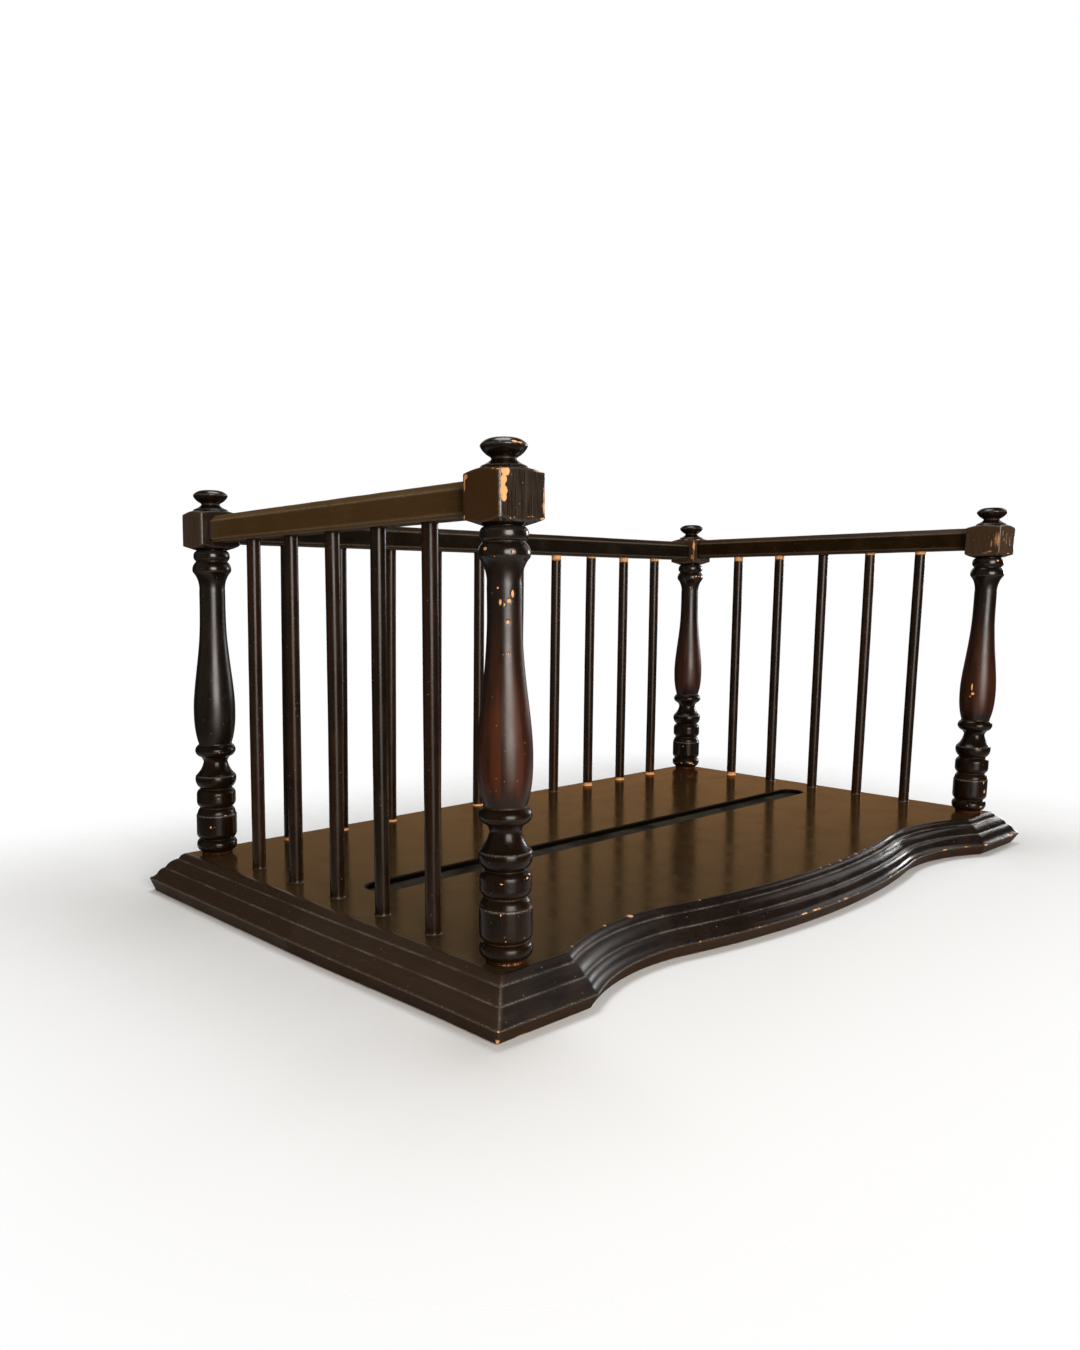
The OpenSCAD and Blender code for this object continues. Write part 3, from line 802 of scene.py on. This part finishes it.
def edge_line():
    """Section of the moulded edge from the flat top out, down and in under the board, as (out, height)."""
    (upper_in, upper_out), (lower_in, lower_out) = LEDGES
    overlap = 3
    ledge_drop = 0.01
    arris = edge_at(0, 0)
    upper = edge_at(upper_out, upper_in + ledge_drop)
    lower = edge_at(lower_out, lower_in + ledge_drop)
    foot = edge_at(0.79, 0.81)
    line = [(flat_out - overlap, board_t), arris]
    line += arc(arris, edge_at(upper_in, upper_in), 38)
    line += [upper]
    line += arc(upper, edge_at(lower_in, lower_in), 26)
    line += [lower]
    line += arc(lower, foot, 24)
    line += arc(foot, edge_at(1, 0.985), -22)
    line += [edge_at(1, 1), (lip_out - band_in, 0), (lip_out - band_in - overlap, 0)]
    return line


def on_ledge(line):
    """1 on the two narrow ledges of the moulded edge and 0 elsewhere on its section."""
    found = np.zeros(len(line))
    for inner, outer in LEDGES:
        a, b = edge_at(inner, inner), edge_at(outer, inner)
        near = np.abs(line[:, 0] - (a[0] + b[0]) / 2)
        found = np.maximum(found, np.clip(1 - near / 0.6, 0, 1) * (line[:, 1] > band_h))
    return found


def board_outline(out):
    """Plan of the board's edge at a distance out past the post centres, always with as many points."""
    hollow_r = (hollow_half ** 2 + hollow_depth ** 2) / 2 / hollow_depth
    hollow_x = half_x - front_straight - hollow_half
    front = -half_y - flat_out
    hollow_y = front + hollow_depth - hollow_r
    bow_r = (hollow_x ** 2 - 2 * hollow_r * hollow_depth + hollow_depth ** 2) / 2 / hollow_depth
    bow_y = front + bow_r
    bow_angle = math.asin(hollow_x / (hollow_r + bow_r))
    over = out - flat_out
    r = hollow_r - over
    x, y = half_x + out, half_y + out
    kink_x = hollow_x + math.sqrt(r * r - (-y - hollow_y) ** 2)
    kink_turn = math.atan2(-y - hollow_y, kink_x - hollow_x)
    trim = 1.0

    # How many points lie along each stretch
    side_points, back_points, end_points = 150, 230, 40
    hollow_points, bow_points = 110, 190

    def line(a, b, count):
        a, b = np.array(a, float), np.array(b, float)
        way = (b - a) / np.linalg.norm(b - a)
        return [p for p in np.linspace(a + way * trim, b - way * trim, count)]

    def rounding(a, corner, b):
        corner = np.array(corner, float)
        return [a * (1 - t) ** 2 + corner * 2 * t * (1 - t) + b * t ** 2 for t in (0.25, 0.5, 0.75)]

    turns = np.linspace(kink_turn + trim / r, math.pi / 2 + bow_angle, hollow_points)
    right_hollow = [np.array([hollow_x + r * math.cos(t), hollow_y + r * math.sin(t)]) for t in turns]
    left_hollow = [p * np.array([-1, 1]) for p in right_hollow]
    wide = bow_r + over
    turns = np.linspace(-bow_angle, bow_angle, bow_points)[1:-1]
    bow = [np.array([wide * math.sin(t), bow_y - wide * math.cos(t)]) for t in turns]
    stretches = [
        (line((-x, y), (-x, -y), side_points), (-x, -y)),
        (line((-x, -y), (-kink_x, -y), end_points), (-kink_x, -y)),
        (left_hollow + bow + right_hollow[::-1], (kink_x, -y)),
        (line((kink_x, -y), (x, -y), end_points), (x, -y)),
        (line((x, -y), (x, y), side_points), (x, y)),
        (line((x, y), (-x, y), back_points), (-x, y)),
    ]
    points = []
    for i, (stretch, corner) in enumerate(stretches):
        points += stretch
        points += rounding(stretch[-1], corner, stretches[(i + 1) % len(stretches)][0][0])
    return np.array(points)


def groove_loop(out, count=48):
    """Plan of the groove's rim at a distance out from its wall."""
    r = groove_w / 2 + out
    reach = half_x - groove_end_gap - groove_w / 2
    turns = np.linspace(-math.pi / 2, math.pi / 2, count)
    right = [(reach + r * math.cos(t), groove_back + r * math.sin(t)) for t in turns]
    back = [(x, groove_back + r) for x in np.linspace(reach, -reach, 120)[1:-1]]
    left = [(-x, 2 * groove_back - y) for x, y in right]
    front = [(x, groove_back - r) for x in np.linspace(-reach, reach, 120)[1:-1]]
    return np.array(right + back + left + front)


# Section of the groove's rim and wall from the flat top down to its floor, as (out, height)
GROOVE_LINE = [
    (1.6, 0), (0.8, 0), (0.45, -0.06), (0.2, -0.2), (0.06, -0.45), (0, -0.8), (0, -groove_depth + 0.5),
    (-0.12, -groove_depth + 0.15), (-0.5, -groove_depth), (-1.5, -groove_depth),
]

# Chips along the front of the board: place along it, how far each reaches across and up, how bare it is
LIP_CHIPS = (
    (-115, 1.2, 0.6, 0.7), (-72, 2.6, 0.6, 0.62), (-34, 3.0, 0.5, 0.8), (-31, 1.2, 0.9, 0.8),
    (-22, 3.0, 0.6, 0.85), (-19, 1.4, 1.1, 0.8), (3, 1.6, 0.7, 0.66), (11, 3.6, 1.0, 0.64),
    (26, 1.4, 0.7, 0.66), (76, 1.3, 0.8, 0.8), (90, 2.2, 0.8, 0.66), (129, 2.5, 0.8, 0.66),
    (172, 3.6, 0.7, 0.74), (192, 2.6, 0.7, 0.66), (209, 2.6, 0.9, 0.76), (238, 2.0, 0.8, 0.7),
    (253, 4.4, 1.2, 0.8),
)
ARRIS_CHIPS = (
    (-203, 1.2, 0.5, 0.66), (-169, 1.6, 0.6, 0.62), (-148, 1.9, 0.7, 0.95), (-99, 1.2, 0.5, 0.66),
    (9, 1.3, 0.5, 0.7), (21, 1.2, 0.5, 0.7), (34, 1.5, 0.5, 0.75), (45, 1.2, 0.5, 0.7),
    (56, 1.5, 0.5, 0.72), (72, 1.3, 0.5, 0.7),
)


def on_front(x, out, z):
    """The point of the board's front at a place along it, a distance out and a height."""
    front = board_outline(out)
    front = front[front[:, 1] < -half_y + 10]
    nearest = front[np.argmin(np.abs(front[:, 0] - x))]
    return (nearest[0], nearest[1], z)


BOARD_SPOTS = [(on_front(x, lip_out, band_h + 0.1), *size) for x, *size in LIP_CHIPS]
BOARD_SPOTS += [(on_front(x, flat_out + 0.2, board_t - 0.1), *size) for x, *size in ARRIS_CHIPS]
# Worn spots at the front left, front right and back left corner
BOARD_SPOTS += [
    ((-half_x - 27.4, -half_y - 24.6, 2.5), 1.5, 3.6, 0.72),
    ((-half_x - 30.2, -half_y - 28.4, 8), 1.1, 1.0, 0.72),
    ((-half_x - 14.0, -half_y - 12.5, 23.2), 0.9, 0.6, 0.6),
    ((-half_x - 14, -half_y - 24.8, 0.5), 7.0, 0.9, 0.55),
    ((half_x + 28, -half_y - 28, 8), 2.2, 1.2, 0.7),
    ((-half_x - 28, half_y + 28, 8), 2.0, 1.2, 0.65),
]


def fill_between(points, outer, inner):
    """Triangles of the flat top between its outer loop and the rim of the groove."""
    flat = bmesh.new()
    made = {}
    edges = []
    for loop in (list(outer), list(inner)):
        for i in loop:
            made[i] = flat.verts.new(points[i] * MM)
        edges += [flat.edges.new((made[a], made[b])) for a, b in zip(loop, loop[1:] + loop[:1])]
    back = {vert: i for i, vert in made.items()}
    bmesh.ops.triangle_fill(flat, use_beauty=True, edges=edges, normal=(0, 0, 1))
    faces = [tuple(back[v] for v in face.verts) for face in flat.faces]
    flat.free()
    return faces


def build_board():
    """The board in one mesh: its moulded edge and underside, its flat top, and the groove."""
    step = 0.5
    line = soften(resample(edge_line(), step), 0.4, step)
    edge, _ = edges_and_hollows(line)
    loops = [board_outline(out) for out in line[:, 0]]
    rows, count = len(loops), len(loops[0])
    grid = np.stack([np.column_stack([loop, np.full(count, z)]) for loop, z in zip(loops, line[:, 1])])
    rim = np.stack([np.column_stack([groove_loop(out), np.full(len(groove_loop(out)), board_t + z)])
                    for out, z in GROOVE_LINE])
    rim_rows, rim_count = rim.shape[:2]

    # The mitres hold a pale worn film, and the ledges a pale film that is dust and also a painted highlight
    #     # where they face up
    plan = np.abs(grid[..., :2])
    corner = np.abs(plan[..., 0] - half_x - line[:, :1]) + np.abs(plan[..., 1] - half_y - line[:, :1])
    mitre = np.clip(1 - corner / 1.1, 0, 1) * (line[:, 1:] < board_t - 2.5)
    pale = np.maximum(np.repeat(on_ledge(line)[:, None], count, 1), 0.8 * mitre)
    edges = np.repeat(edge[:, None], count, 1)

    # The left edge reaches further out, most of all towards the back and at the floor
    left = smooth_step(half_x + 4, half_x + 14, -grid[..., 0])
    toward_back = 0.45 + 0.55 * smooth_step(-half_y, 0, grid[..., 1])
    upright = 1 + 0.6 * np.clip(1 - grid[..., 2] / band_h, 0, 1)
    grid[..., 0] -= LEFT_OUT * left * toward_back * upright

    first_rim = rows * count
    points = np.concatenate([grid.reshape(-1, 3), rim.reshape(-1, 3)])
    faces = grid_faces(rows, count) + grid_faces(rim_rows, rim_count, first_rim)
    faces.append(tuple(range((rows - 1) * count, rows * count)))
    last_rim = first_rim + (rim_rows - 1) * rim_count
    faces.append(tuple(range(last_rim, last_rim + rim_count)))
    faces += fill_between(points, range(count), range(first_rim, first_rim + rim_count))

    # The moulding is browner on the left side, which is painted warm light from the left, and less glossy
    # # towards the front left corner
    beyond_left = -half_x - points[:, 0]
    beyond_end = np.abs(points[:, 1]) - half_y
    left_front = smooth_step(100, 160, -points[:, 0]) * (points[:, 1] < 0)
    rim_edge = np.repeat(np.array([0, 0, 0.15, 0.3, 0.15, 0, 0, 0, 0, 0])[:, None], rim_count, 1)
    # The floor of the groove is paler than its walls
    rim_hollow = np.repeat(np.array([0, 0, 0, 0, 0, 0, 0, 0.5, 1, 1])[:, None], rim_count, 1)
    fields = {
        "edge": np.concatenate([edges.ravel(), rim_edge.ravel()]),
        "hollow": np.concatenate([pale.ravel(), rim_hollow.ravel()]),
        "tint": 0.45 * (points[:, 2] < band_h - 0.3),
        "umber_and_painted_light": 0.65 * smooth_step(8, 10, beyond_left) * smooth_step(-0.8, 0.8, beyond_left - beyond_end),
        "satin": 2.8 * left_front * (points[:, 2] < board_t - 0.3),
        "chip": chip_field(points, BOARD_SPOTS),
    }
    finishes = [edge_finish, top_finish, groove_painted_shade_finish, band_finish]
    board = make_piece("board", points, faces, "base_board", finishes, fields)
    height = np.array([v.co.z for v in board.data.vertices]) / MM
    high = height > board_t - 0.05
    below_lip = height < band_h - 0.1
    for face in board.data.polygons:
        if all(i >= first_rim for i in face.vertices):
            face.material_index = finishes.index(groove_painted_shade_finish)
        elif all(high[i] for i in face.vertices):
            face.material_index = finishes.index(top_finish)
        elif all(below_lip[i] for i in face.vertices):
            face.material_index = finishes.index(band_finish)
    return board


build_board()


# Floor, light and camera

VIEW_HEADING = math.radians(44.214)


def floor():
    """A pale floor that keeps the shadow and fades into the white around it."""
    below = (0, 0, -0.0005)
    fade_from, fade_to = 0.01, 0.24
    bpy.ops.mesh.primitive_circle_add(vertices=96, radius=3.0, fill_type="NGON", location=below)
    made = bpy.context.object
    made.name = "floor"
    material = bpy.data.materials.new("floor_paper")
    material.use_nodes = True
    tree = material.node_tree
    shader = tree.nodes["Principled BSDF"]
    shader.inputs["Base Color"].default_value = rgb(0.84, 0.84, 0.84)
    shader.inputs["Roughness"].default_value = 0.9
    shader.inputs["Specular IOR Level"].default_value = 0.1
    reach = ((half_x + lip_out) * MM, (half_y + lip_out) * MM, 0)
    place = add_node(tree, "TexCoord").outputs["Object"]
    place = add_node(tree, "VectorMath", {0: place}, operation="ABSOLUTE").outputs[0]
    past = add_node(tree, "VectorMath", {0: place, 1: reach}, operation="SUBTRACT").outputs[0]
    past = add_node(tree, "VectorMath", {0: past, 1: (0, 0, 0)}, operation="MAXIMUM").outputs[0]
    far = add_node(tree, "VectorMath", {0: past}, operation="LENGTH").outputs["Value"]
    clear = add_node(tree, "BsdfTransparent").outputs[0]
    share = remap(tree, far, fade_from, fade_to)
    fade = add_node(tree, "MixShader", {0: share, 1: shader.outputs[0], 2: clear})
    tree.links.new(fade.outputs[0], tree.nodes["Material Output"].inputs[0])
    made.data.materials.append(material)


def studio():
    """White all round for the camera. For reflections and for the light on the object there is a warm
    sheet behind the object, which begins a little above the horizon, and the rest of the studio is dim."""
    world = bpy.data.worlds.new("studio")
    bpy.context.scene.world = world
    world.use_nodes = True
    tree = world.node_tree
    tree.nodes.clear()
    path = add_node(tree, "LightPath").outputs
    way = add_node(tree, "TexCoord").outputs["Generated"]
    backdrop = (math.sin(VIEW_HEADING), math.cos(VIEW_HEADING), 0)
    toward = add_node(tree, "VectorMath", {0: way, 1: backdrop}, operation="DOT_PRODUCT").outputs["Value"]
    other = math_node(tree, "MAXIMUM", path["Is Glossy Ray"], path["Is Transmission Ray"])
    other = math_node(tree, "MAXIMUM", other, path["Is Diffuse Ray"])
    height = add_node(tree, "SeparateXYZ", {0: way}).outputs["Z"]
    sheet = math_node(tree, "MULTIPLY", remap(tree, toward, 0.72, 0.97), remap(tree, height, 0.05, 0.14))
    other = math_node(tree, "MULTIPLY", other, sheet)
    soft = add_node(tree, "Background", {"Color": rgb(1, 1, 1), "Strength": 0.055}).outputs[0]
    warm = add_node(tree, "Background", {"Color": rgb(1, 0.88, 0.74), "Strength": 0.83}).outputs[0]
    white = add_node(tree, "Background", {"Color": rgb(1, 1, 1), "Strength": 1.0}).outputs[0]
    around = add_node(tree, "MixShader", {0: other, 1: soft, 2: warm}).outputs[0]
    both = add_node(tree, "MixShader", {0: path["Is Camera Ray"], 1: around, 2: white}).outputs[0]
    add_node(tree, "OutputWorld", {"Surface": both})


def lamp(name, at, wide, tall, power, tint=(1, 1, 1)):
    """A soft box aimed at the middle of the object."""
    light = bpy.data.lights.new(name, "AREA")
    light.shape = "RECTANGLE"
    light.size = wide
    light.size_y = tall
    light.energy = power
    light.color = tint
    made = bpy.data.objects.new(name, light)
    made.location = at
    made.rotation_mode = "QUATERNION"
    made.rotation_quaternion = (Vector((0, 0, 0.1)) - Vector(at)).to_track_quat("-Z", "Y")
    bpy.context.scene.collection.objects.link(made)


def camera():
    """The photograph's viewpoint: place, heading from +Y towards +X, tilt below the horizon, roll, lens."""
    place = (-0.5508, -0.4777, 0.1907)
    tilt, roll = math.radians(6.893), math.radians(0.3)
    data = bpy.data.cameras.new("camera")
    data.sensor_width = 36
    data.lens = 28.22
    data.shift_y = 0.0315
    data.clip_start = 0.01
    made = bpy.data.objects.new("camera", data)
    turn = Matrix.Rotation(-VIEW_HEADING, 4, "Z")
    turn = turn @ Matrix.Rotation(math.pi / 2 - tilt, 4, "X")
    turn = turn @ Matrix.Rotation(roll, 4, "Z")
    made.matrix_world = Matrix.Translation(place) @ turn
    bpy.context.scene.collection.objects.link(made)
    bpy.context.scene.camera = made


floor()
studio()
# Soft boxes: name, place, width and height in metres, power in watts, and tint
lamp("key", (-0.70, -1.58, 0.46), 0.9, 0.75, 41, (1, 0.95, 0.89))
lamp("bounce", (-0.66, -1.50, -0.12), 0.8, 0.4, 5, (1, 0.92, 0.84))
lamp("side", (1.75, -0.02, 0.38), 0.45, 0.3, 9)
lamp("right", (1.5, -0.35, 0.95), 0.9, 0.6, 1.8)
lamp("fill", (-2.0, 0.4, 1.0), 3.0, 3.0, 7, (1, 0.85, 0.62))
lamp("top", (0.1, 0.2, 1.7), 0.8, 0.8, 16, (0.96, 0.98, 1))
camera()
bpy.context.scene.view_settings.view_transform = "Standard"
